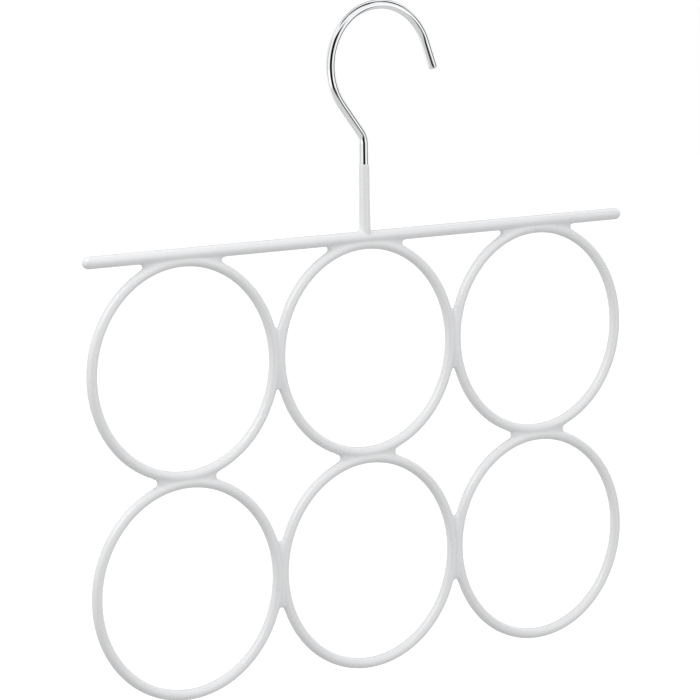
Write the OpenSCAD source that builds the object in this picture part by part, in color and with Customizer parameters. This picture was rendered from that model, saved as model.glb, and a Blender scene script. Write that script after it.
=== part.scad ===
// Scarf hanger: six welded wire rings under a straight bar, dipped in soft white coating,
// with a chromed wire hook standing on the middle of the bar.
// The rings hang in the XZ plane. The origin is the seat under the hook's crown, where the
// hanger rests on a rail. +Z points up and the rail runs along Y.

/* [Rings] */
// Diameter of each ring, measured on the middle of its bare wire
ring_d = 93.8; // [70:0.2:120]
// Thickness of the bare ring wire
ring_wire_d = 3.4; // [3:0.1:4.5]
// How deep two rings side by side are pressed into each other at their weld
side_weld_set = 0.2; // [0.1:0.05:0.5]
// How deep an upper and a lower ring are pressed into each other at their weld
row_weld_set = 0.5; // [0.2:0.05:0.8]

/* [Bar] */
// Thickness of the bare bar wire
bar_wire_d = 4.2; // [3.8:0.1:5]
// How far each coated end of the bar stands out past the outer rings
bar_overhang = 0.8; // [0.5:0.1:30]
// How deep the bar and an upper ring are pressed into each other at their weld
bar_weld_set = 0.7; // [0.2:0.05:0.8]
// Thickness of the coating over the bar wire's square ends
bar_end_coat_t = 1.5; // [1.2:0.1:2.4]

/* [Hook] */
// Thickness of the chromed hook wire
hook_wire_d = 4; // [3.4:0.1:4.4]
// Radius of the crown, measured on the middle of the wire
hook_r = 26.8; // [20:0.1:34]
// Angle between the leaning neck and the upright shank
neck_lean = 38; // [30:1:45]
// Length of the neck's straight stretch
neck_length = 16; // [8:0.5:24]
// Radius of the bend between the shank and the neck
neck_bend_r = 9; // [6:0.5:14]
// Angle of the crown's far side at which it runs out into the straight tip
tip_angle = 20; // [0:1:40]
// Length of the straight tip
tip_length = 13; // [4:0.5:20]
// Rounding of the tip's cut end
tip_round = 0.8; // [0.3:0.1:1.4]
// Height at which the shank starts to bend, above the bar's axis
shank_length = 41.6; // [38:0.1:70]
// How deep the hook and the bar are pressed into each other at their weld
hook_weld_set = 0.5; // [0.2:0.05:0.8]

/* [Coating] */
// Thickness of the coating on the rings and the bar
coat_t = 0.65; // [0.5:0.05:0.8]
// Thickness of the coating at its upper edge on the shank
stem_top_coat_t = 0.25; // [0.2:0.05:0.45]
// Height of the coating's upper edge on the shank, above the bar's axis
stem_height = 32.5; // [15:0.5:36]
// Rounding of the coating between the bar and a ring
bar_fillet_r = 1.5; // [1.2:0.1:3]
// Rounding of the coating between an upper and a lower ring
row_fillet_r = 2.1; // [1.5:0.1:3.5]
// Rounding of the coating between two rings side by side
side_fillet_r = 1.5; // [1:0.1:3]
// Rounding of the coating where the shank meets the bar
foot_fillet_r = 1.2; // [0.8:0.1:2.5]
// Thickness of the coating that fills the gaps beside the welds
web_t = 3.4; // [2.4:0.1:3.6]

/* [Welds] */
// Diameter of the fused spot inside each weld
weld_d = 2.4; // [1.6:0.1:2.6]
// Length of the fused spot along the joint
weld_length = 1.6; // [1.2:0.1:2]

/* [Hidden] */
section_fn = 40;
ring_fn = 144;
$fn = section_fn;
coat_color = [0.93, 0.93, 0.94];
wire_color = [0.55, 0.56, 0.58];
weld_color = [0.35, 0.36, 0.4];
chrome_color = [0.82, 0.83, 0.85];

// Rows count down from the bar, columns count from the left
last_row = 1;
last_column = 2;

// The stem's foot is thinner than the full coating by this, so that it lands on the bar's round back
foot_step = 0.3;

// Radii of the bare and coated wires
ring_r = ring_d / 2;
ring_wire_r = ring_wire_d / 2;
ring_coat_r = ring_wire_r + coat_t;
bar_wire_r = bar_wire_d / 2;
bar_coat_r = bar_wire_r + coat_t;
hook_wire_r = hook_wire_d / 2;
stem_top_r = hook_wire_r + stem_top_coat_t;
stem_foot_r = min(hook_wire_r, bar_wire_r) + coat_t - foot_step;

// Spacing of the rings
side_pitch = ring_d + ring_wire_d - side_weld_set;
row_pitch = ring_d + ring_wire_d - row_weld_set;

// The hook's centre line, from the crown down to the shank
crown_z = hook_wire_r - hook_r;
neck_top_x = -hook_r * cos(neck_lean);
neck_top_z = crown_z - hook_r * sin(neck_lean);
bend_end_x = neck_top_x + neck_length * sin(neck_lean);
bend_end_z = neck_top_z - neck_length * cos(neck_lean);
shank_x = bend_end_x + neck_bend_r * (1 - cos(neck_lean));
bend_z = bend_end_z - neck_bend_r * sin(neck_lean);

// Heights of the bar and the rows, and the welds between them
bar_z = bend_z - shank_length;
shank_foot_z = bar_z + bar_wire_r - hook_weld_set;
hook_weld_z = bar_z + bar_wire_r - hook_weld_set / 2;
bar_weld_z = bar_z - bar_wire_r + bar_weld_set / 2;
upper_z = bar_weld_z + bar_weld_set / 2 - ring_r - ring_wire_r;
row_weld_z = upper_z - row_pitch / 2;
bar_half = side_pitch * last_column / 2 + ring_r + ring_coat_r + bar_overhang;

// Reach of the blocks that cut the model apart, and the depth that cuts run past a face
reach = ring_r + ring_coat_r + 5;
past = 1;

// The wire is a hair thinner in its bends, which start a hair inside the straight stretches
bend_thinning = 0.01;
bend_lap = 0.2;

function column_x(column) = shank_x + (column - last_column / 2) * side_pitch;
function row_z(row) = upper_z - row * row_pitch;

// Half the distance between the middles of two fillets that touch both coated rings
function ring_fillet_offset(half_pitch, fillet_r) =
    sqrt(pow(ring_r + ring_coat_r + fillet_r, 2) - pow(half_pitch, 2));
// The same for two fillets that touch a coated ring and the underside of the coated bar
bar_gap = bar_z - bar_coat_r - upper_z;
bar_fillet_offset = sqrt(pow(ring_r + ring_coat_r + bar_fillet_r, 2) - pow(bar_gap - bar_fillet_r, 2));

// A ring of round section in the XZ plane
module ring_tube(section_r) {
    rotate([90, 0, 0]) rotate_extrude($fn = ring_fn)
        translate([ring_r, 0]) circle(section_r, $fn = section_fn);
}

// A round rod along X, centred on the shank
module bar_rod(section_r, half_length) {
    translate([shank_x, 0, bar_z]) rotate([0, 90, 0])
        cylinder(h = 2 * half_length, r = section_r, center = true);
}

// A plate in the XZ plane, from an outline drawn in X and Z
module web_plate() {
    rotate([90, 0, 0]) linear_extrude(web_t, center = true) children();
}

// The space that a ring shares with no neighbour
module ring_cell(column, row) {
    low_x = column > 0 ? -side_pitch / 2 : -reach;
    high_x = column < last_column ? side_pitch / 2 : reach;
    low_z = row < last_row ? -row_pitch / 2 : -reach;
    high_z = row > 0 ? row_pitch / 2 : reach;
    translate([low_x, -reach, low_z]) cube([high_x - low_x, 2 * reach, high_z - low_z]);
}

// Coating between a ring and its neighbour at a distance of two half pitches along +X
module ring_web(half_pitch, fillet_r) {
    offset_z = ring_fillet_offset(half_pitch, fillet_r);
    web_plate() difference() {
        polygon([[0, 0], [half_pitch, offset_z], [half_pitch, -offset_z]]);
        circle(ring_r, $fn = ring_fn);
        for (side = [-1, 1]) translate([half_pitch, side * offset_z]) circle(fillet_r);
    }
}

// Coating between an upper ring and the bar above it
module bar_web() {
    fillet_z = bar_gap - bar_fillet_r;
    top_z = bar_z - upper_z;
    web_plate() difference() {
        polygon([[0, 0], [bar_fillet_offset, fillet_z], [bar_fillet_offset, top_z],
            [-bar_fillet_offset, top_z], [-bar_fillet_offset, fillet_z]]);
        circle(ring_r, $fn = ring_fn);
        for (side = [-1, 1]) translate([side * bar_fillet_offset, fillet_z]) circle(bar_fillet_r);
    }
}

// Fused spots, each a short rod along the joint
module side_weld() {
    rotate([0, 90, 0]) cylinder(h = weld_length, d = weld_d, center = true);
}

module upright_weld() {
    cylinder(h = weld_length, d = weld_d, center = true);
}

// The fused spots around one ring, in the ring's own place
module welds_around(column, row) {
    if (column > 0) translate([-side_pitch / 2, 0, 0]) side_weld();
    if (column < last_column) translate([side_pitch / 2, 0, 0]) side_weld();
    translate([0, 0, row > 0 ? row_pitch / 2 : bar_weld_z - upper_z]) upright_weld();
    if (row < last_row) translate([0, 0, -row_pitch / 2]) upright_weld();
}

// Bare ring wire, flat where it is pressed against its neighbours
module wire_ring(column, row) {
    color(wire_color) difference() {
        translate([column_x(column), 0, row_z(row)]) difference() {
            intersection() {
                ring_tube(ring_wire_r);
                ring_cell(column, row);
            }
            welds_around(column, row);
        }
        if (row == 0) bar_rod(bar_wire_r, bar_half);
    }
}

// Coating of one ring, with its half of the fillings beside the welds
module ring_coat(column, row) {
    color(coat_color) difference() {
        translate([column_x(column), 0, row_z(row)]) difference() {
            intersection() {
                union() {
                    ring_tube(ring_coat_r);
                    if (column < last_column) ring_web(side_pitch / 2, side_fillet_r);
                    if (column > 0) mirror([1, 0, 0]) ring_web(side_pitch / 2, side_fillet_r);
                    if (row < last_row) rotate([0, 90, 0]) ring_web(row_pitch / 2, row_fillet_r);
                    if (row > 0) rotate([0, -90, 0]) ring_web(row_pitch / 2, row_fillet_r);
                    if (row == 0) bar_web();
                }
                ring_cell(column, row);
            }
            ring_tube(ring_wire_r);
            welds_around(column, row);
        }
        if (row == 0) bar_rod(bar_coat_r, bar_half);
    }
}

// Bare bar wire with its seats for the fused spots
module top_bar() {
    color(wire_color) difference() {
        bar_rod(bar_wire_r, bar_half - bar_end_coat_t);
        bar_weld_spots();
        hook_weld_spot();
    }
}

module bar_coat() {
    color(coat_color) difference() {
        union() {
            bar_rod(bar_coat_r, bar_half - bar_coat_r);
            for (side = [-1, 1])
                translate([shank_x + side * (bar_half - bar_coat_r), 0, bar_z]) sphere(bar_coat_r);
        }
        bar_rod(bar_wire_r, bar_half - bar_end_coat_t);
        for (column = [0:last_column])
            translate([column_x(column), 0, upper_z]) ring_tube(ring_wire_r);
        bar_weld_spots();
        translate([shank_x, 0, shank_foot_z]) cylinder(h = stem_height, r = hook_wire_r);
        hook_weld_spot();
    }
}

module stem_coat() {
    fillet_z = bar_coat_r + foot_fillet_r;
    fillet_x = stem_foot_r + (stem_top_r - stem_foot_r) * fillet_z / stem_height + foot_fillet_r;
    color(coat_color) difference() {
        translate([shank_x, 0, bar_z]) union() {
            cylinder(h = stem_height, r1 = stem_foot_r, r2 = stem_top_r);
            web_plate() difference() {
                polygon([[-fillet_x, 0], [fillet_x, 0], [fillet_x, fillet_z], [-fillet_x, fillet_z]]);
                for (side = [-1, 1]) translate([side * fillet_x, fillet_z]) circle(foot_fillet_r);
            }
        }
        bar_rod(bar_coat_r, bar_half);
        translate([shank_x, 0, bar_z]) cylinder(h = stem_height + past, r = hook_wire_r);
    }
}

// Straight tip with its rounded end, drawn from the end backwards along +Z
module tip_wire() {
    rotate_extrude() {
        square([hook_wire_r - tip_round, tip_round]);
        intersection() {
            translate([hook_wire_r - tip_round, tip_round]) circle(tip_round);
            square([hook_wire_r, tip_round]);
        }
    }
    translate([0, 0, tip_round]) cylinder(h = tip_length - tip_round + bend_lap, r = hook_wire_r);
}

// A bent stretch of the hook wire in the XZ plane, from one angle to another around its middle
module wire_bend(bend_r, from_angle, to_angle) {
    rotate([90, 0, 0]) rotate([0, 0, from_angle])
        rotate_extrude(angle = to_angle - from_angle, $fn = ring_fn)
            translate([bend_r, 0]) circle(hook_wire_r - bend_thinning, $fn = section_fn);
}

module hook() {
    color(chrome_color) difference() {
        union() {
            translate([shank_x, 0, shank_foot_z])
                cylinder(h = bend_z - shank_foot_z + bend_lap, r = hook_wire_r);
            translate([shank_x - neck_bend_r, 0, bend_z]) wire_bend(neck_bend_r, 0, neck_lean);
            translate([bend_end_x, 0, bend_end_z]) rotate([0, -neck_lean, 0])
                translate([0, 0, -bend_lap]) cylinder(h = neck_length + 2 * bend_lap, r = hook_wire_r);
            translate([0, 0, crown_z]) wire_bend(hook_r, tip_angle, 180 + neck_lean);
            translate([0, 0, crown_z]) rotate([0, -tip_angle, 0])
                translate([hook_r, 0, -tip_length]) tip_wire();
        }
        bar_rod(bar_wire_r, bar_half);
        hook_weld_spot();
    }
}

module hook_weld_spot() {
    translate([shank_x, 0, hook_weld_z]) upright_weld();
}

module bar_weld_spots() {
    for (column = [0:last_column]) translate([column_x(column), 0, bar_weld_z]) upright_weld();
}

module hook_weld() {
    color(weld_color) hook_weld_spot();
}

module bar_welds() {
    color(weld_color) bar_weld_spots();
}

module side_welds() {
    color(weld_color) for (row = [0:last_row], column = [0:last_column - 1])
        translate([column_x(column) + side_pitch / 2, 0, row_z(row)]) side_weld();
}

module row_welds() {
    color(weld_color) for (column = [0:last_column])
        translate([column_x(column), 0, row_weld_z]) upright_weld();
}

hook();
hook_weld();
top_bar();
bar_welds();
side_welds();
row_welds();
wire_ring(0, 0);  // upper_left_ring
wire_ring(1, 0);  // upper_middle_ring
wire_ring(2, 0);  // upper_right_ring
wire_ring(0, 1);  // lower_left_ring
wire_ring(1, 1);  // lower_middle_ring
wire_ring(2, 1);  // lower_right_ring
stem_coat();
bar_coat();
ring_coat(0, 0);  // upper_left_coat
ring_coat(1, 0);  // upper_middle_coat
ring_coat(2, 0);  // upper_right_coat
ring_coat(0, 1);  // lower_left_coat
ring_coat(1, 1);  // lower_middle_coat
ring_coat(2, 1);  // lower_right_coat
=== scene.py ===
"""Dresses the scarf hanger in its dip coating and chrome, and sets it in a plain white studio."""

import math

import bpy
from mathutils import Matrix, Vector


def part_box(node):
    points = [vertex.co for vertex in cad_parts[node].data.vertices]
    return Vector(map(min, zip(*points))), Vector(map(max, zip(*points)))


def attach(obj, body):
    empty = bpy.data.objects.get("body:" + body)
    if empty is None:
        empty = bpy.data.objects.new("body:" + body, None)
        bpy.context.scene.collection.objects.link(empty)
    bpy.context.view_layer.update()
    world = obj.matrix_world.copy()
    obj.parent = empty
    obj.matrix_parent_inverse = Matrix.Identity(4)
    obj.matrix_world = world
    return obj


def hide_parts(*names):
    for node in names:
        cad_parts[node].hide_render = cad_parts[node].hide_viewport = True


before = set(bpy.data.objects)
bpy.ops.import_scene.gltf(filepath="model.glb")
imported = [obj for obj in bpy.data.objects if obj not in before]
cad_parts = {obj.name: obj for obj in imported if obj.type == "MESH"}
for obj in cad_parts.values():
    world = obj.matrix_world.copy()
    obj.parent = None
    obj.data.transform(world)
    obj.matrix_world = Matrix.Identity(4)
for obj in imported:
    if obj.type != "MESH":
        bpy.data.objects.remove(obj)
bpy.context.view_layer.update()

bl_info = {
    "name": "Scarf Hanger",
    "version": (1, 0, 0),
    "blender": (4, 5, 0),
    "location": "3D View > Sidebar > Scarf Hanger",
    "description": "Builds the coating, the hook and the studio of a ring scarf hanger around its "
                   "solid model",
    "category": "Add Mesh",
}

MM = 0.001

# Where the solid model puts the bar, the rings and the hook, read from its own pieces.
bar_low, bar_high = (Vector(corner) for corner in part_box("bar_coat"))
outer_low, outer_high = (Vector(corner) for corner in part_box("lower_left_coat"))
middle_low, middle_high = (Vector(corner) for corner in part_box("lower_middle_coat"))
hook_low, hook_high = (Vector(corner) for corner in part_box("hook"))
stem_high = Vector(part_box("stem_coat")[1])

SHANK_X = (bar_low.x + bar_high.x) / 2
BAR_Z = (bar_low.z + bar_high.z) / 2
BAR_LENGTH = bar_high.x - bar_low.x
BAR_RADIUS = bar_high.y
TUBE_RADIUS = outer_high.y
COLUMN_PITCH = middle_high.x - middle_low.x
RING_RADIUS = outer_high.x - outer_low.x - COLUMN_PITCH / 2 - TUBE_RADIUS
ROW_PITCH = 2 * (outer_high.z - outer_low.z - RING_RADIUS - TUBE_RADIUS)
UPPER_Z = outer_high.z + ROW_PITCH / 2
STEM_HEIGHT = stem_high.z - BAR_Z
HOOK_WIRE_RADIUS = hook_high.y

SKIN_INSET = 0.03 * MM  # keeps the skin inside the solid model's box
HAIR = 0.012 * MM  # keeps surfaces apart that would otherwise lie in one place


# Settings

def length(name, description, default):
    return bpy.props.FloatProperty(name=name, description=description, default=default,
                                   unit="LENGTH", subtype="DISTANCE", precision=5)


def angle(name, description, degrees):
    return bpy.props.FloatProperty(name=name, description=description,
                                   default=math.radians(degrees), unit="ROTATION", subtype="ANGLE")


def power(name, description, default):
    return bpy.props.FloatProperty(name=name, description=description, default=default, min=0.0,
                                   unit="POWER")


def amount(name, description, default, highest=1.0):
    return bpy.props.FloatProperty(name=name, description=description, default=default,
                                   min=0.0, max=highest)


def tint(name, description, default):
    return bpy.props.FloatVectorProperty(name=name, description=description, default=default,
                                         size=3, min=0.0, max=1.0, subtype="COLOR")


class CoatingSettings(bpy.types.PropertyGroup):
    ring_radius: length("Ring Radius", "Radius of a ring on the middle of its tube", RING_RADIUS)
    tube_radius: length("Tube Radius", "Radius of a coated ring tube", TUBE_RADIUS)
    column_pitch: length("Column Pitch", "Distance between two rings side by side", COLUMN_PITCH)
    row_pitch: length("Row Pitch", "Distance between an upper and a lower ring", ROW_PITCH)
    bar_radius: length("Bar Radius", "Radius of the coated bar", BAR_RADIUS - SKIN_INSET)
    bar_length: length("Bar Length", "Length of the coated bar over its round ends", BAR_LENGTH)
    web_thickness: length("Web Thickness", "Thickness of the coating between two welded tubes",
                          4.0 * MM)
    web_end_thickness: length("Web End Thickness", "Thickness of that coating where it ends",
                              2.3 * MM)
    side_notch_radius: length("Side Notch Radius", "Roundness of the notches between upper rings",
                              1.59 * MM)
    lower_notch_radius: length("Lower Notch Radius", "Roundness of the notches between lower rings",
                               2.14 * MM)
    row_notch_radius: length("Row Notch Radius", "Roundness of the notches between the two rows",
                             2.03 * MM)
    bar_notch_radius: length("Bar Notch Radius", "Roundness of the notches under the bar",
                             1.44 * MM)
    blend: length("Blend", "How far two coated shapes flow into each other", 0.95 * MM)
    foot_radius: length("Foot Radius", "Radius of the stem's coating at the bar", 2.6 * MM)
    foot_blend: length("Foot Blend", "How far the stem's coating flows into the bar's", 2.8 * MM)
    stem_top_radius: length("Stem Top Radius", "Radius of the stem's coating at its upper edge",
                            2.25 * MM)
    stem_edge: length("Stem Edge", "Depth of the rounding of the stem's upper edge", 0.18 * MM)
    stem_edge_height: length("Stem Edge Height", "Height of that rounding", 0.8 * MM)
    voxel: length("Voxel", "Grid on which the skin is first laid", 0.7 * MM)
    color: tint("Color", "Colour of the dip coating", (0.86, 0.865, 0.875))
    roughness: amount("Roughness", "Roughness of the dip coating", 0.28)
    shine: amount("Shine", "How strongly the dip coating reflects", 0.7)


class HookSettings(bpy.types.PropertyGroup):
    wire_radius: length("Wire Radius", "Radius of the chromed wire", HOOK_WIRE_RADIUS - HAIR)
    crown_radius: length("Crown Radius", "Radius of the crown on the middle of the wire", 26.8 * MM)
    neck_length: length("Neck Length", "Straight stretch of the leaning neck", 16 * MM)
    neck_bend_radius: length("Neck Bend Radius", "Radius of the bend over the shank", 9 * MM)
    tip_length: length("Tip Length", "Straight stretch at the free end", 13 * MM)
    tip_rounding: length("Tip Rounding", "Rounding of the cut end", 0.8 * MM)
    neck_lean: angle("Neck Lean", "Angle of the neck from upright", 38)
    tip_angle: angle("Tip Angle", "Where the crown runs into the tip", 20)
    color: tint("Color", "Tint of the chrome plating", (0.89, 0.90, 0.91))
    roughness: amount("Roughness", "Roughness of the chrome plating", 0.05)


class StudioSettings(bpy.types.PropertyGroup):
    floor_height: length("Floor Height", "Height of the studio floor", -0.80)
    ambient: amount("Ambient", "Strength of the light from all round", 0.675, 10.0)
    key_power: power("Key Power", "Power of the soft light that the coating shows", 2.5)
    top_power: power("Top Power", "Power of the soft light from above", 2.6)
    fill_power: power("Fill Power", "Power of the soft light from the right", 5.6)
    left_power: power("Left Power", "Power of the soft light from the left", 3.0)
    floor_bounce: amount("Floor Bounce", "How much of its colour the floor throws back", 0.65)
    floor_glow: amount("Floor Glow", "White that the camera sees on top of that colour", 0.55)
    floor_color: tint("Floor Color", "Colour of the floor", (0.9, 0.9, 0.9))
    focal_length: bpy.props.FloatProperty(name="Focal Length", default=184.57, min=1.0,
                                          description="Focal length of the camera in mm")
    azimuth: angle("Azimuth", "Camera direction round the hanger", -35.54)
    elevation: angle("Elevation", "Camera height above the horizon", 8.21)
    roll: angle("Roll", "Turn of the camera about its own view", -0.80)
    distance: length("Distance", "Distance from the camera to the point it looks at", 1.5993)
    target_x: length("Target X", "Point that the camera looks at", -0.018468)
    target_z: length("Target Z", "Point that the camera looks at", -0.150991)


# Node trees

class Number:
    """A number in a node tree, which calculates by placing Math nodes."""

    def __init__(self, tree, socket):
        self.tree = tree
        self.socket = socket

    def __add__(self, other):
        return math_node(self.tree, "ADD", self, other)

    def __sub__(self, other):
        return math_node(self.tree, "SUBTRACT", self, other)

    def __rsub__(self, other):
        return math_node(self.tree, "SUBTRACT", other, self)

    def __neg__(self):
        return 0.0 - self

    def __mul__(self, other):
        return math_node(self.tree, "MULTIPLY", self, other)

    def __truediv__(self, other):
        return math_node(self.tree, "DIVIDE", self, other)


def feed(tree, node, inputs):
    """Gives a node's inputs, by name or place, plain values or the outputs of other nodes."""
    for key, value in dict(inputs).items():
        if isinstance(value, Number):
            value = value.socket
        if isinstance(value, bpy.types.NodeSocket):
            tree.links.new(value, node.inputs[key])
        else:
            node.inputs[key].default_value = value


def add_node(tree, kind, inputs=(), **settings):
    node = tree.nodes.new(kind)
    for name, value in settings.items():
        setattr(node, name, value)
    feed(tree, node, inputs)
    return node


def math_node(tree, operation, *terms):
    node = add_node(tree, "ShaderNodeMath", enumerate(terms), operation=operation)
    return Number(tree, node.outputs["Value"])


def vector_node(tree, operation, *terms):
    node = add_node(tree, "ShaderNodeVectorMath", enumerate(terms), operation=operation)
    return node.outputs["Vector"]


def numbers_of(tree, vector):
    """The three numbers of a vector."""
    separate = add_node(tree, "ShaderNodeSeparateXYZ", {"Vector": vector})
    return [Number(tree, separate.outputs[axis]) for axis in "XYZ"]


def absolute(number):
    return math_node(number.tree, "ABSOLUTE", number)


def larger(first, *others):
    for other in others:
        first = math_node(first.tree, "MAXIMUM", first, other)
    return first


def smaller(first, second):
    return math_node(first.tree, "MINIMUM", first, second)


def hypotenuse(first, second):
    return math_node(first.tree, "SQRT", first * first + second * second)


def flow_together(first, second, reach):
    return math_node(first.tree, "SMOOTH_MIN", first, second, reach)


def rounded_cut(first, second, rounding):
    """Distance to what two shapes share, with the edge between them rounded."""
    beyond_first, beyond_second = first + rounding, second + rounding
    inner = smaller(larger(beyond_first, beyond_second), 0.0)
    return inner + hypotenuse(larger(beyond_first, 0.0), larger(beyond_second, 0.0)) - rounding


def new_tree(name, inputs, outputs):
    """A Geometry Nodes tree with named inputs, given as name, socket type and default."""
    tree = bpy.data.node_groups.new(name, "GeometryNodeTree")
    for socket_name, kind, default in inputs:
        socket = tree.interface.new_socket(name=socket_name, in_out="INPUT", socket_type=kind)
        if default is not None:
            socket.default_value = default
        if kind == "NodeSocketFloat":
            socket.subtype = "DISTANCE"
    for socket_name, kind in outputs:
        tree.interface.new_socket(name=socket_name, in_out="OUTPUT", socket_type=kind)
    given, result = tree.nodes.new("NodeGroupInput"), tree.nodes.new("NodeGroupOutput")
    return tree, given.outputs, result


# The coating's shape

SKIN_SIZES = ("Ring Radius", "Tube Radius", "Column Pitch", "Row Pitch", "Bar Radius", "Bar Length",
              "Web Thickness", "Web End Thickness", "Side Notch Radius", "Lower Notch Radius",
              "Row Notch Radius", "Bar Notch Radius", "Blend", "Foot Radius", "Foot Blend",
              "Stem Top Radius")
FOOT_HEIGHT = 8 * MM  # up to here the stem's coating is part of the skin
FOOT_OVERLAP = 0.25  # share of that height which the piece above it covers too
WEB_EDGE = 0.36  # rounding of a web's edge, as a share of the web's thickness at its end
SLOPE_STEP = 0.03 * MM  # how far apart two distances are compared to find their slope
SETTLE_STEPS = 4  # moves of every point of the grid's mesh towards the coating
GRID_MARGIN = 3  # voxels between the skin and the edge of its grid


def coating_distance_tree():
    """Distance from a place to the coating's outside, less than zero inside it."""
    inputs = [("Place", "NodeSocketVector", None)]
    inputs += [(name, "NodeSocketFloat", 0.0) for name in SKIN_SIZES]
    tree, given, result = new_tree("Distance to Coating", inputs, [("Distance", "NodeSocketFloat")])
    (ring_radius, tube_radius, column_pitch, row_pitch, bar_radius, bar_length, web_thickness,
     web_end_thickness, side_notch, lower_notch, row_notch, bar_notch, blend, foot_radius,
     foot_blend, stem_top_radius) = (Number(tree, given[name]) for name in SKIN_SIZES)
    x, y, z = numbers_of(tree, given["Place"])

    # The hanger is alike on both sides of its shank, and its rows differ only in their notches.
    across = absolute(x - SHANK_X)
    below_upper = z - UPPER_Z
    above_bar = z - BAR_Z
    from_side_weld = across - column_pitch * 0.5
    from_row_weld = below_upper + row_pitch * 0.5
    in_column = absolute(from_side_weld) - column_pitch * 0.5
    in_row = absolute(from_row_weld) - row_pitch * 0.5
    outside_ring = ring_radius - hypotenuse(in_column, in_row)
    off_plane = absolute(y)

    def ring(sideways, upwards):
        return hypotenuse(hypotenuse(sideways, upwards) - ring_radius, y) - tube_radius

    neighbour, row_below = across - column_pitch, below_upper + row_pitch
    upper_row = flow_together(ring(across, below_upper), ring(neighbour, below_upper), blend)
    lower_row = flow_together(ring(across, row_below), ring(neighbour, row_below), blend)
    skin = flow_together(upper_row, lower_row, blend)

    def reach_of_notch(gap, radius):
        """How far from its weld the middle of a notch's round end lies."""
        side = ring_radius + tube_radius + radius
        return math_node(tree, "SQRT", side * side - gap * gap)

    def web(along, gap, reach, radius, *bounds):
        """Coating that fills the notch on either side of a weld, up to its round end."""
        round_end = radius - hypotenuse(gap, smaller(along - reach, 0.0))
        outline = larger(round_end, along - reach, outside_ring, *bounds)
        toward_end = along / (reach - radius)
        toward_end = toward_end * toward_end
        fullness = larger(1.0 - toward_end * toward_end, 0.0)
        thickness = web_end_thickness + fullness * (web_thickness - web_end_thickness)
        return rounded_cut(outline, off_plane - thickness * 0.5, web_end_thickness * WEB_EDGE)

    in_lower_row = math_node(tree, "LESS_THAN", from_row_weld, 0.0)
    side_notch = side_notch + in_lower_row * (lower_notch - side_notch)
    side_reach = reach_of_notch(column_pitch * 0.5, side_notch)
    side_web = web(absolute(in_row), from_side_weld, side_reach, side_notch, in_column)
    row_reach = reach_of_notch(row_pitch * 0.5, row_notch)
    row_web = web(absolute(in_column), from_row_weld, row_reach, row_notch, in_row)
    notch_height = (BAR_Z - UPPER_Z) - bar_radius - bar_notch
    bar_reach = reach_of_notch(notch_height, bar_notch)
    bar_web = web(absolute(in_column), below_upper - notch_height, bar_reach, bar_notch,
                  above_bar, -below_upper)
    for part in (side_web, row_web, bar_web):
        skin = flow_together(skin, part, blend)

    past_end = larger(across - bar_length * 0.5 + bar_radius, 0.0)
    bar = hypotenuse(hypotenuse(past_end, y), above_bar) - bar_radius
    stem_radius = foot_radius - above_bar * (foot_radius - stem_top_radius) / STEM_HEIGHT
    stem = larger(hypotenuse(across, y) - stem_radius, above_bar - FOOT_HEIGHT, -above_bar)
    # The stem flows into the top of the bar, and less so towards the bar's sides.
    side_share = off_plane / bar_radius
    foot_reach = foot_blend * larger(1.0 - side_share * side_share, 0.0)
    skin = flow_together(skin, flow_together(bar, stem, foot_reach), blend)
    feed(tree, result, {"Distance": skin})
    return tree


def distance_at(tree, distance_tree, given, place):
    group = tree.nodes.new("GeometryNodeGroup")
    group.node_tree = distance_tree
    feed(tree, group, {"Place": place, **{name: given[name] for name in SKIN_SIZES}})
    return Number(tree, group.outputs["Distance"])


def slope_at(tree, distance_tree, given, place):
    """The distance at a place, and the direction in which it grows."""
    here = distance_at(tree, distance_tree, given, place)
    combine = tree.nodes.new("ShaderNodeCombineXYZ")
    for axis, step in zip("XYZ", Matrix.Identity(3) * SLOPE_STEP):
        beside = distance_at(tree, distance_tree, given, vector_node(tree, "ADD", place, step))
        feed(tree, combine, {axis: (beside - here) / SLOPE_STEP})
    return here, vector_node(tree, "NORMALIZE", combine.outputs["Vector"])


def skin_tree():
    """Lays a mesh on a grid round the coating, then settles its points onto the coating."""
    inputs = [("Low Corner", "NodeSocketVector", None), ("High Corner", "NodeSocketVector", None),
              ("Voxel", "NodeSocketFloat", 0.001), ("Finish", "NodeSocketMaterial", None)]
    inputs += [(name, "NodeSocketFloat", 0.0) for name in SKIN_SIZES]
    tree, given, result = new_tree("Coating Skin", inputs, [("Geometry", "NodeSocketGeometry")])
    distance_tree = coating_distance_tree()
    voxel = Number(tree, given["Voxel"])
    position = tree.nodes.new("GeometryNodeInputPosition").outputs["Position"]

    low, high = given["Low Corner"], given["High Corner"]
    extent = numbers_of(tree, vector_node(tree, "SUBTRACT", high, low))
    density = 0.5 - distance_at(tree, distance_tree, given, position) / voxel
    cube = add_node(tree, "GeometryNodeVolumeCube", {"Density": density, "Min": low, "Max": high})
    feed(tree, cube, {"Resolution " + axis: size / voxel for axis, size in zip("XYZ", extent)})
    to_mesh = add_node(tree, "GeometryNodeVolumeToMesh",
                       {"Volume": cube.outputs["Volume"], "Threshold": 0.5})
    geometry = to_mesh.outputs["Mesh"]
    for _ in range(SETTLE_STEPS):
        here, outwards = slope_at(tree, distance_tree, given, position)
        move = add_node(tree, "ShaderNodeVectorMath", {"Vector": outwards, "Scale": -here},
                        operation="SCALE")
        settle = add_node(tree, "GeometryNodeSetPosition",
                          {"Geometry": geometry, "Offset": move.outputs["Vector"]})
        geometry = settle.outputs["Geometry"]

    smooth = add_node(tree, "GeometryNodeSetShadeSmooth", {"Geometry": geometry})
    _, outwards = slope_at(tree, distance_tree, given, position)
    normals = add_node(tree, "GeometryNodeSetMeshNormal", mode="FREE", domain="POINT")
    feed(tree, normals, {"Mesh": smooth.outputs["Geometry"], "Custom Normal": outwards})
    finish_tree(tree, given, result, normals.outputs["Mesh"])
    return tree


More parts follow.
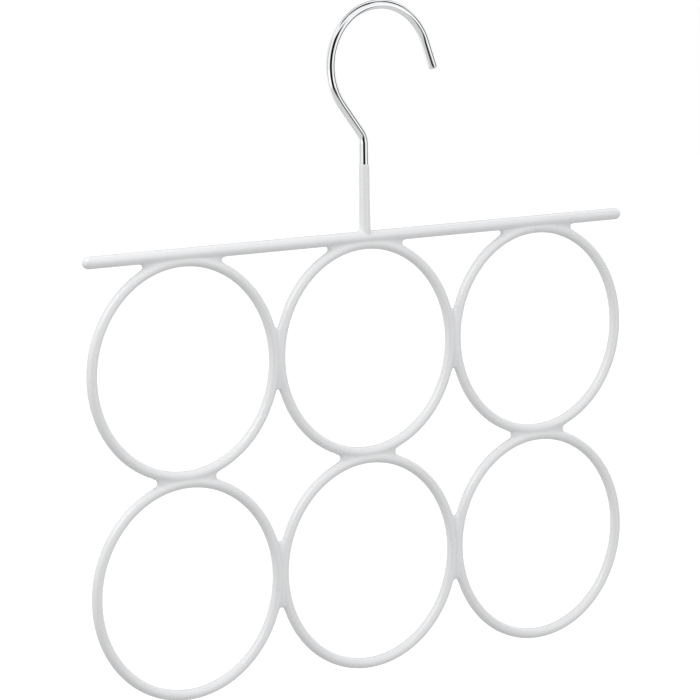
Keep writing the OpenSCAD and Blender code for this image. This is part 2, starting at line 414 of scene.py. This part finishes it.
def finish_tree(tree, given, result, geometry):
    """Ends a tree with real geometry that has its finish on it."""
    realize = add_node(tree, "GeometryNodeRealizeInstances", {"Geometry": geometry})
    material = add_node(tree, "GeometryNodeSetMaterial",
                        {"Geometry": realize.outputs["Geometry"], "Material": given["Finish"]})
    feed(tree, result, {"Geometry": material.outputs["Geometry"]})


# The swept wires

WIRE_SIDES = 64
STEM_SIDES = 48
# Stretches between the points of a path.
SHANK_STEPS = 12
BEND_STEPS = 16
CROWN_STEPS = 112
STRAIGHT_STEPS = 8
ROUNDING_STEPS = 8
STEM_STEPS = 10


def swept_wire_tree():
    """Sweeps a round section along a path of points, each with its own radius."""
    inputs = [("Path", "NodeSocketGeometry", None), ("Section Points", "NodeSocketInt", STEM_SIDES),
              ("Finish", "NodeSocketMaterial", None)]
    tree, given, result = new_tree("Swept Wire", inputs, [("Geometry", "NodeSocketGeometry")])
    curve = add_node(tree, "GeometryNodeMeshToCurve", {"Mesh": given["Path"]})
    circle = add_node(tree, "GeometryNodeCurvePrimitiveCircle",
                      {"Resolution": given["Section Points"], "Radius": 1.0})
    radius = add_node(tree, "GeometryNodeInputNamedAttribute", {"Name": "wire_radius"},
                      data_type="FLOAT")
    sweep = add_node(tree, "GeometryNodeCurveToMesh",
                     {"Curve": curve.outputs["Curve"], "Profile Curve": circle.outputs["Curve"],
                      "Scale": radius.outputs["Attribute"], "Fill Caps": True})
    smooth = add_node(tree, "GeometryNodeSetShadeSmooth", {"Geometry": sweep.outputs["Mesh"]})
    finish_tree(tree, given, result, smooth.outputs["Geometry"])
    return tree


def path_mesh(name, points):
    """A chain of points, given as place and radius."""
    mesh = bpy.data.meshes.new(name)
    edges = [(i, i + 1) for i in range(len(points) - 1)]
    mesh.from_pydata([place for place, _ in points], edges, [])
    radius = mesh.attributes.new("wire_radius", "FLOAT", "POINT")
    radius.data.foreach_set("value", [wire_radius for _, wire_radius in points])
    return mesh


def add_object(name, data):
    thing = bpy.data.objects.new(name, data)
    bpy.context.scene.collection.objects.link(thing)
    return thing


def made_by(tree, name, mesh, values):
    """A plain mesh object made by a Geometry Nodes tree from a carrier mesh."""
    carrier = add_object(name + " carrier", mesh)
    modifier = carrier.modifiers.new(tree.name, "NODES")
    modifier.node_group = tree
    for item in tree.interface.items_tree:
        if item.in_out == "INPUT" and item.name in values:
            modifier[item.identifier] = values[item.name]
    depsgraph = bpy.context.evaluated_depsgraph_get()
    plain = bpy.data.meshes.new_from_object(carrier.evaluated_get(depsgraph), depsgraph=depsgraph)
    bpy.data.objects.remove(carrier)
    bpy.data.meshes.remove(mesh)
    if not plain.polygons:
        raise RuntimeError(f"{name} came out empty")
    plain.name = name
    return add_object(name, plain)


def arc(centre_x, centre_z, radius, start, end, steps):
    """Points of an arc in the XZ plane, without its first."""
    angles = [start + (end - start) * i / steps for i in range(1, steps + 1)]
    return [(centre_x + radius * math.cos(a), 0, centre_z + radius * math.sin(a)) for a in angles]


def line(start, end, steps):
    """Points of a straight stretch, without its first."""
    start, end = Vector(start), Vector(end)
    return [tuple(start.lerp(end, i / steps)) for i in range(1, steps + 1)]


def rounded_end(height, depth):
    """How far along and how far in the points of a rounded end lie, without its first."""
    turns = [math.radians(90) * i / ROUNDING_STEPS for i in range(1, ROUNDING_STEPS + 1)]
    return [(height * math.sin(turn), depth * (1 - math.cos(turn))) for turn in turns]


def hook_path(hook):
    """Middle line of the hook wire from its weld on the bar to its rounded tip, with its radii."""
    wire, crown, bend = hook.wire_radius, hook.crown_radius, hook.neck_bend_radius
    lean, tip = hook.neck_lean, hook.tip_angle
    crown_z = wire - crown
    neck_top = Vector((-crown * math.cos(lean), 0, crown_z - crown * math.sin(lean)))
    neck_end = neck_top + hook.neck_length * Vector((math.sin(lean), 0, -math.cos(lean)))
    bend_x = neck_end.x - bend * math.cos(lean)
    bend_z = neck_end.z - bend * math.sin(lean)
    foot = (SHANK_X, 0, hook_low.z)
    points = [foot] + line(foot, (bend_x + bend, 0, bend_z), SHANK_STEPS)
    points += arc(bend_x, bend_z, bend, 0, lean, BEND_STEPS)
    points += line(points[-1], neck_top, STRAIGHT_STEPS)
    points += arc(0, crown_z, crown, math.pi + lean, tip, CROWN_STEPS)
    down = Vector((math.sin(tip), 0, -math.cos(tip)))
    tip_start = Vector(points[-1])
    straight = hook.tip_length - hook.tip_rounding
    points += line(tip_start, tip_start + straight * down, STRAIGHT_STEPS)
    path = [(place, wire) for place in points]
    for along, inwards in rounded_end(hook.tip_rounding, hook.tip_rounding):
        path.append((tuple(tip_start + (straight + along) * down), wire - inwards))
    return path


def stem_path(coating):
    """Middle line of the coating on the shank above its foot, with its radii."""
    start = BAR_Z + (1 - FOOT_OVERLAP) * FOOT_HEIGHT
    top = BAR_Z + STEM_HEIGHT
    edge_start = top - coating.stem_edge_height

    def radius_at(z):
        return coating.foot_radius + HAIR - (z - BAR_Z) / STEM_HEIGHT * (
            coating.foot_radius - coating.stem_top_radius)

    heights = [start + (edge_start - start) * i / STEM_STEPS for i in range(STEM_STEPS + 1)]
    path = [((SHANK_X, 0, z), radius_at(z)) for z in heights]
    for along, inwards in rounded_end(coating.stem_edge_height, coating.stem_edge):
        path.append(((SHANK_X, 0, edge_start + along), radius_at(top) - inwards))
    return path


# Finishes

def shader(name):
    material = bpy.data.materials.new(name)
    material.use_nodes = True
    tree = material.node_tree
    return material, tree, tree.nodes["Principled BSDF"]


def noise(tree, scale, detail=2.0):
    place = tree.nodes.new("ShaderNodeTexCoord").outputs["Object"]
    texture = add_node(tree, "ShaderNodeTexNoise",
                       {"Scale": scale, "Detail": detail, "Vector": place})
    return texture.outputs["Fac"]


def between(tree, factor, low, high):
    spread = add_node(tree, "ShaderNodeMapRange", {"Value": factor, "To Min": low, "To Max": high})
    return spread.outputs["Result"]


def streaked(tree, factor, first, second):
    """A colour that wanders between two."""
    shade = add_node(tree, "ShaderNodeMix",
                     {"Factor": factor, "A": (*first, 1), "B": (*second, 1)}, data_type="RGBA")
    return shade.outputs["Result"]


def coating_finish(coating):
    material, tree, surface = shader("White dip coating")
    darker = [0.985 * channel for channel in coating.color]
    smoother, rougher = coating.roughness - 0.03, coating.roughness + 0.03
    bump = add_node(tree, "ShaderNodeBump",
                    {"Strength": 0.05, "Distance": 0.2 * MM, "Height": noise(tree, 260)})
    feed(tree, surface, {"Base Color": streaked(tree, noise(tree, 30), darker, coating.color),
                         "Roughness": between(tree, noise(tree, 90), smoother, rougher),
                         "Specular IOR Level": coating.shine, "IOR": 1.5,
                         "Normal": bump.outputs["Normal"]})
    return material


def chrome_finish(hook):
    material, tree, surface = shader("Bright chrome plating")
    smoother, rougher = hook.roughness - 0.02, hook.roughness + 0.02
    feed(tree, surface, {"Base Color": (*hook.color, 1), "Metallic": 1.0,
                         "Roughness": between(tree, noise(tree, 400), smoother, rougher)})
    return material


def steel_finish(name, low, high, roughness):
    """Bare steel of the covered wires and welds, faintly streaked."""
    material, tree, surface = shader(name)
    shade = streaked(tree, noise(tree, 600, 4.0), (low, low, low * 1.02), (high, high, high * 1.02))
    feed(tree, surface, {"Base Color": shade, "Metallic": 1.0, "Roughness": roughness})
    return material


def give_finish(node, material):
    if not node.material_slots:
        node.data.materials.append(material)
    for slot in node.material_slots:
        slot.material = material


# The studio

# Soft round lights: name, setting with the power, turn from the camera and height above the
# horizon in degrees, distance and diameter in metres.
LIGHTS = (
    ("key light", "key_power", -30, 47, 0.95, 0.62),
    ("top light", "top_power", -20, 75, 1.5, 1.0),
    ("fill light", "fill_power", 72, 15, 2.0, 1.0),
    ("left light", "left_power", -85, 5, 2.0, 1.0),
)
GLOSSY_LIGHT = "key light"  # the only one that the coating shows as a highlight

# Panels that show only in reflections: name, turn from the camera, height above the horizon, half
# width, half height and lean, all in degrees as the hook sees them, and brightness.
REFLECTED_PANELS = (
    ("dark strip", 6, 2, 33, 41, 0, 0.008),
    ("dark strip behind", 185, 4, 24, 38, 0, 0.03),
    ("low side", 42, -26, 16, 11, 20, 0.14),
    ("side seam", 97, -9, 17, 29, 0, 0.10),
    ("upper seam", 100, 36, 15, 18, 0, 0.06),
    ("high seam", 86, 60, 15, 15, 0, 0.08),
    ("ceiling", 90, 87, 18, 18, 0, 0.10),
    ("left ceiling", -80, 68, 22, 13, 0, 0.22),
    ("left seam", -93, 0, 18, 36, 0, 0.58),
    ("floor below", 0, -90, 62, 62, 0, 0.68),
)
PANEL_DISTANCE = 0.75
PANEL_FADE = 0.3  # share of a panel's half width or half height over which its edge fades out
FLOOR_HALF = 6.0
WHITE = (1, 1, 1, 1)


def towards(azimuth, elevation):
    """A direction one metre long, with azimuth 0 towards -Y."""
    return Vector((math.sin(azimuth) * math.cos(elevation),
                   -math.cos(azimuth) * math.cos(elevation), math.sin(elevation)))


def from_camera(studio, turn, height):
    """A direction given in degrees of turn from the camera and of height above the horizon."""
    return towards(studio.azimuth + math.radians(turn), math.radians(height))


def seen_or_reflected(tree):
    """1 for what is seen directly, in a reflection or through glass, otherwise 0."""
    path = tree.nodes.new("ShaderNodeLightPath").outputs
    return larger(*(Number(tree, path[kind]) for kind in
                    ("Is Camera Ray", "Is Glossy Ray", "Is Transmission Ray")))


def mixed(tree, share, first, second):
    """The first shader where the share is 0, and the second where it is 1."""
    mix = add_node(tree, "ShaderNodeMixShader", {"Fac": share, 1: first, 2: second})
    return mix.outputs["Shader"]


def empty_material(name):
    material = bpy.data.materials.new(name)
    material.use_nodes = True
    material.node_tree.nodes.clear()
    return material, material.node_tree


def quad(name, corners):
    mesh = bpy.data.meshes.new(name)
    mesh.from_pydata([tuple(corner) for corner in corners], [], [(0, 1, 2, 3)])
    return mesh


def build_world(scene, studio):
    """White for the camera and for reflections, and a plain soft light for the rest."""
    scene.world = bpy.data.worlds.new("studio")
    scene.world.use_nodes = True
    tree = scene.world.node_tree
    tree.nodes.clear()
    lit, white = (add_node(tree, "ShaderNodeBackground", {"Color": WHITE, "Strength": strength})
                  for strength in (studio.ambient, 1.0))
    surface = mixed(tree, seen_or_reflected(tree), lit.outputs["Background"],
                    white.outputs["Background"])
    add_node(tree, "ShaderNodeOutputWorld", {"Surface": surface})


def build_floor(studio):
    """A plain pale floor that shows white and keeps the hanger's shadow."""
    sides = ((-1, -1), (1, -1), (1, 1), (-1, 1))
    floor = add_object("floor", quad("floor", [(FLOOR_HALF * x, FLOOR_HALF * y, studio.floor_height)
                                               for x, y in sides]))
    material, tree = empty_material("Pale floor")
    dim_color = [studio.floor_bounce * channel for channel in studio.floor_color]
    dim, pale = (add_node(tree, "ShaderNodeBsdfDiffuse", {"Color": (*color, 1)})
                 for color in (dim_color, studio.floor_color))
    glow = add_node(tree, "ShaderNodeEmission", {"Color": WHITE, "Strength": studio.floor_glow})
    bright = add_node(tree, "ShaderNodeAddShader",
                      {0: pale.outputs["BSDF"], 1: glow.outputs["Emission"]})
    surface = mixed(tree, seen_or_reflected(tree), dim.outputs["BSDF"], bright.outputs["Shader"])
    add_node(tree, "ShaderNodeOutputMaterial", {"Surface": surface})
    floor.data.materials.append(material)


def build_lights(studio, middle):
    for name, setting, turn, height, distance, size in LIGHTS:
        offset = distance * from_camera(studio, turn, height)
        data = bpy.data.lights.new(name, "AREA")
        data.shape = "DISK"
        data.size = size
        data.energy = getattr(studio, setting)
        light = add_object(name, data)
        light.location = middle + offset
        light.rotation_euler = offset.to_track_quat("Z", "Y").to_euler()
        light.visible_glossy = name == GLOSSY_LIGHT
        if light.visible_glossy:
            keep_off_chrome(light)


def keep_off_chrome(light):
    """Leaves the hook out of a light, because the chrome shows its own panels."""
    hook = bpy.data.objects.get("chromed_hook")
    if hook is not None:
        left_out = bpy.data.collections.new("out of the " + light.name)
        left_out.objects.link(hook)
        light.light_linking.receiver_collection = left_out
        left_out.collection_objects[0].light_linking.link_state = "EXCLUDE"


def reflected_panel(name, offset, wide, tall, lean, brightness):
    """A grey panel with soft edges, facing the hook, that shows only in reflections."""
    sideways = offset.cross(Vector((0, 0, 1)))
    if sideways.length < 1e-6:
        sideways = Vector((1, 0, 0))
    sideways = Matrix.Rotation(lean, 3, offset) @ sideways.normalized()
    upwards = sideways.cross(offset).normalized() * offset.length * math.tan(tall)
    sideways = sideways * offset.length * math.tan(wide)
    corners = ((-1, -1), (1, -1), (1, 1), (-1, 1))
    panel = add_object(name, quad(name, [offset + x * sideways + y * upwards for x, y in corners]))
    for loop, corner in zip(panel.data.uv_layers.new(name="panel").data, corners):
        loop.uv = corner

    material, tree = empty_material(name)

    def faded(number):
        """1 in the middle of the panel, and 0 at its edge."""
        fade = add_node(tree, "ShaderNodeMapRange",
                        {"Value": absolute(number), "From Min": 1.0, "From Max": 1 - PANEL_FADE},
                        interpolation_type="SMOOTHSTEP")
        return Number(tree, fade.outputs["Result"])

    across, along, _ = numbers_of(tree, tree.nodes.new("ShaderNodeUVMap").outputs["UV"])
    clear = tree.nodes.new("ShaderNodeBsdfTransparent")
    glow = add_node(tree, "ShaderNodeEmission", {"Color": (brightness, brightness, brightness, 1)})
    surface = mixed(tree, faded(across) * faded(along), clear.outputs["BSDF"],
                    glow.outputs["Emission"])
    add_node(tree, "ShaderNodeOutputMaterial", {"Surface": surface})
    panel.data.materials.append(material)
    panel.visible_camera = panel.visible_diffuse = False
    panel.visible_shadow = panel.visible_transmission = False


def build_camera(scene, studio, middle):
    back = towards(studio.azimuth, studio.elevation)
    level = (-back).cross(Vector((0, 0, 1))).normalized()
    upright = level.cross(-back)
    right = math.cos(studio.roll) * level + math.sin(studio.roll) * upright
    up = math.cos(studio.roll) * upright - math.sin(studio.roll) * level
    camera = add_object("camera", bpy.data.cameras.new("camera"))
    camera.data.sensor_width = 36.0
    camera.data.lens = studio.focal_length
    place = Matrix.Translation(middle + studio.distance * back)
    camera.matrix_world = place @ Matrix((right, up, back)).transposed().to_4x4()
    scene.camera = camera
    scene.view_settings.view_transform = "Standard"


# The add-on

class HANGER_OT_coating(bpy.types.Operator):
    """Build the dip coating on the bar and the rings as one continuous skin"""
    bl_idname = "hanger.coating"
    bl_label = "Coating"

    def execute(self, context):
        coating = context.scene.hanger_coating
        margin = GRID_MARGIN * Vector((1, 1, 1)) * coating.voxel
        low = Vector((bar_low.x, -BAR_RADIUS, outer_low.z)) - margin
        high = Vector((bar_high.x, BAR_RADIUS, BAR_Z + FOOT_HEIGHT)) + margin
        finish = coating_finish(coating)
        values = {name: getattr(coating, name.lower().replace(" ", "_")) for name in SKIN_SIZES}
        values.update({"Low Corner": low, "High Corner": high, "Voxel": coating.voxel,
                       "Finish": finish})
        skin = made_by(skin_tree(), "coating_skin", bpy.data.meshes.new("grid"), values)
        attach(skin, "root")
        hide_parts("bar_coat", "upper_left_coat", "upper_middle_coat", "upper_right_coat",
                    "lower_left_coat", "lower_middle_coat", "lower_right_coat")
        path = path_mesh("stem path", stem_path(coating))
        stem = made_by(swept_wire_tree(), "stem_coating", path,
                       {"Section Points": STEM_SIDES, "Finish": finish})
        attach(stem, "root")
        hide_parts("stem_coat")
        return {"FINISHED"}


class HANGER_OT_hook(bpy.types.Operator):
    """Build the chromed wire hook"""
    bl_idname = "hanger.hook"
    bl_label = "Hook"

    def execute(self, context):
        hook = context.scene.hanger_hook
        path = path_mesh("hook path", hook_path(hook))
        piece = made_by(swept_wire_tree(), "chromed_hook", path,
                        {"Section Points": WIRE_SIDES, "Finish": chrome_finish(hook)})
        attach(piece, "root")
        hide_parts("hook")
        return {"FINISHED"}


class HANGER_OT_wires(bpy.types.Operator):
    """Finish the bare wires and the welds under the coating"""
    bl_idname = "hanger.wires"
    bl_label = "Wires and Welds"

    def execute(self, context):
        wire = steel_finish("Drawn steel wire", 0.42, 0.5, 0.35)
        weld = steel_finish("Fused weld steel", 0.3, 0.38, 0.5)
        for name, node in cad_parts.items():
            if name == "top_bar" or name.endswith("_ring"):
                give_finish(node, wire)
            elif name.endswith(("_weld", "_welds")):
                give_finish(node, weld)
        return {"FINISHED"}


class HANGER_OT_studio(bpy.types.Operator):
    """Build the floor, the lights and the camera"""
    bl_idname = "hanger.studio"
    bl_label = "Studio"

    def execute(self, context):
        studio = context.scene.hanger_studio
        middle = Vector((studio.target_x, 0, studio.target_z))
        build_world(context.scene, studio)
        build_floor(studio)
        build_lights(studio, middle)
        for name, turn, height, wide, tall, lean, brightness in REFLECTED_PANELS:
            reflected_panel(name, PANEL_DISTANCE * from_camera(studio, turn, height),
                            math.radians(wide), math.radians(tall), math.radians(lean), brightness)
        build_camera(context.scene, studio, middle)
        return {"FINISHED"}


class HANGER_PT_panel(bpy.types.Panel):
    """Lists the hanger's pieces"""
    bl_idname = "HANGER_PT_panel"
    bl_label = "Scarf Hanger"
    bl_space_type = "VIEW_3D"
    bl_region_type = "UI"
    bl_category = "Scarf Hanger"

    def draw(self, context):
        for operator in OPERATORS:
            self.layout.operator(operator.bl_idname)


SETTINGS = {"hanger_coating": CoatingSettings, "hanger_hook": HookSettings,
            "hanger_studio": StudioSettings}
OPERATORS = (HANGER_OT_coating, HANGER_OT_hook, HANGER_OT_wires, HANGER_OT_studio)


def register():
    for group in SETTINGS.values():
        bpy.utils.register_class(group)
    for name, group in SETTINGS.items():
        setattr(bpy.types.Scene, name, bpy.props.PointerProperty(type=group))
    for operator in OPERATORS:
        bpy.utils.register_class(operator)
    bpy.utils.register_class(HANGER_PT_panel)


def unregister():
    bpy.utils.unregister_class(HANGER_PT_panel)
    for operator in reversed(OPERATORS):
        bpy.utils.unregister_class(operator)
    for name, group in SETTINGS.items():
        delattr(bpy.types.Scene, name)
        bpy.utils.unregister_class(group)


def main():
    register()
    bpy.ops.hanger.coating()
    bpy.ops.hanger.hook()
    bpy.ops.hanger.wires()
    bpy.ops.hanger.studio()


if __name__ == "__main__":
    main()
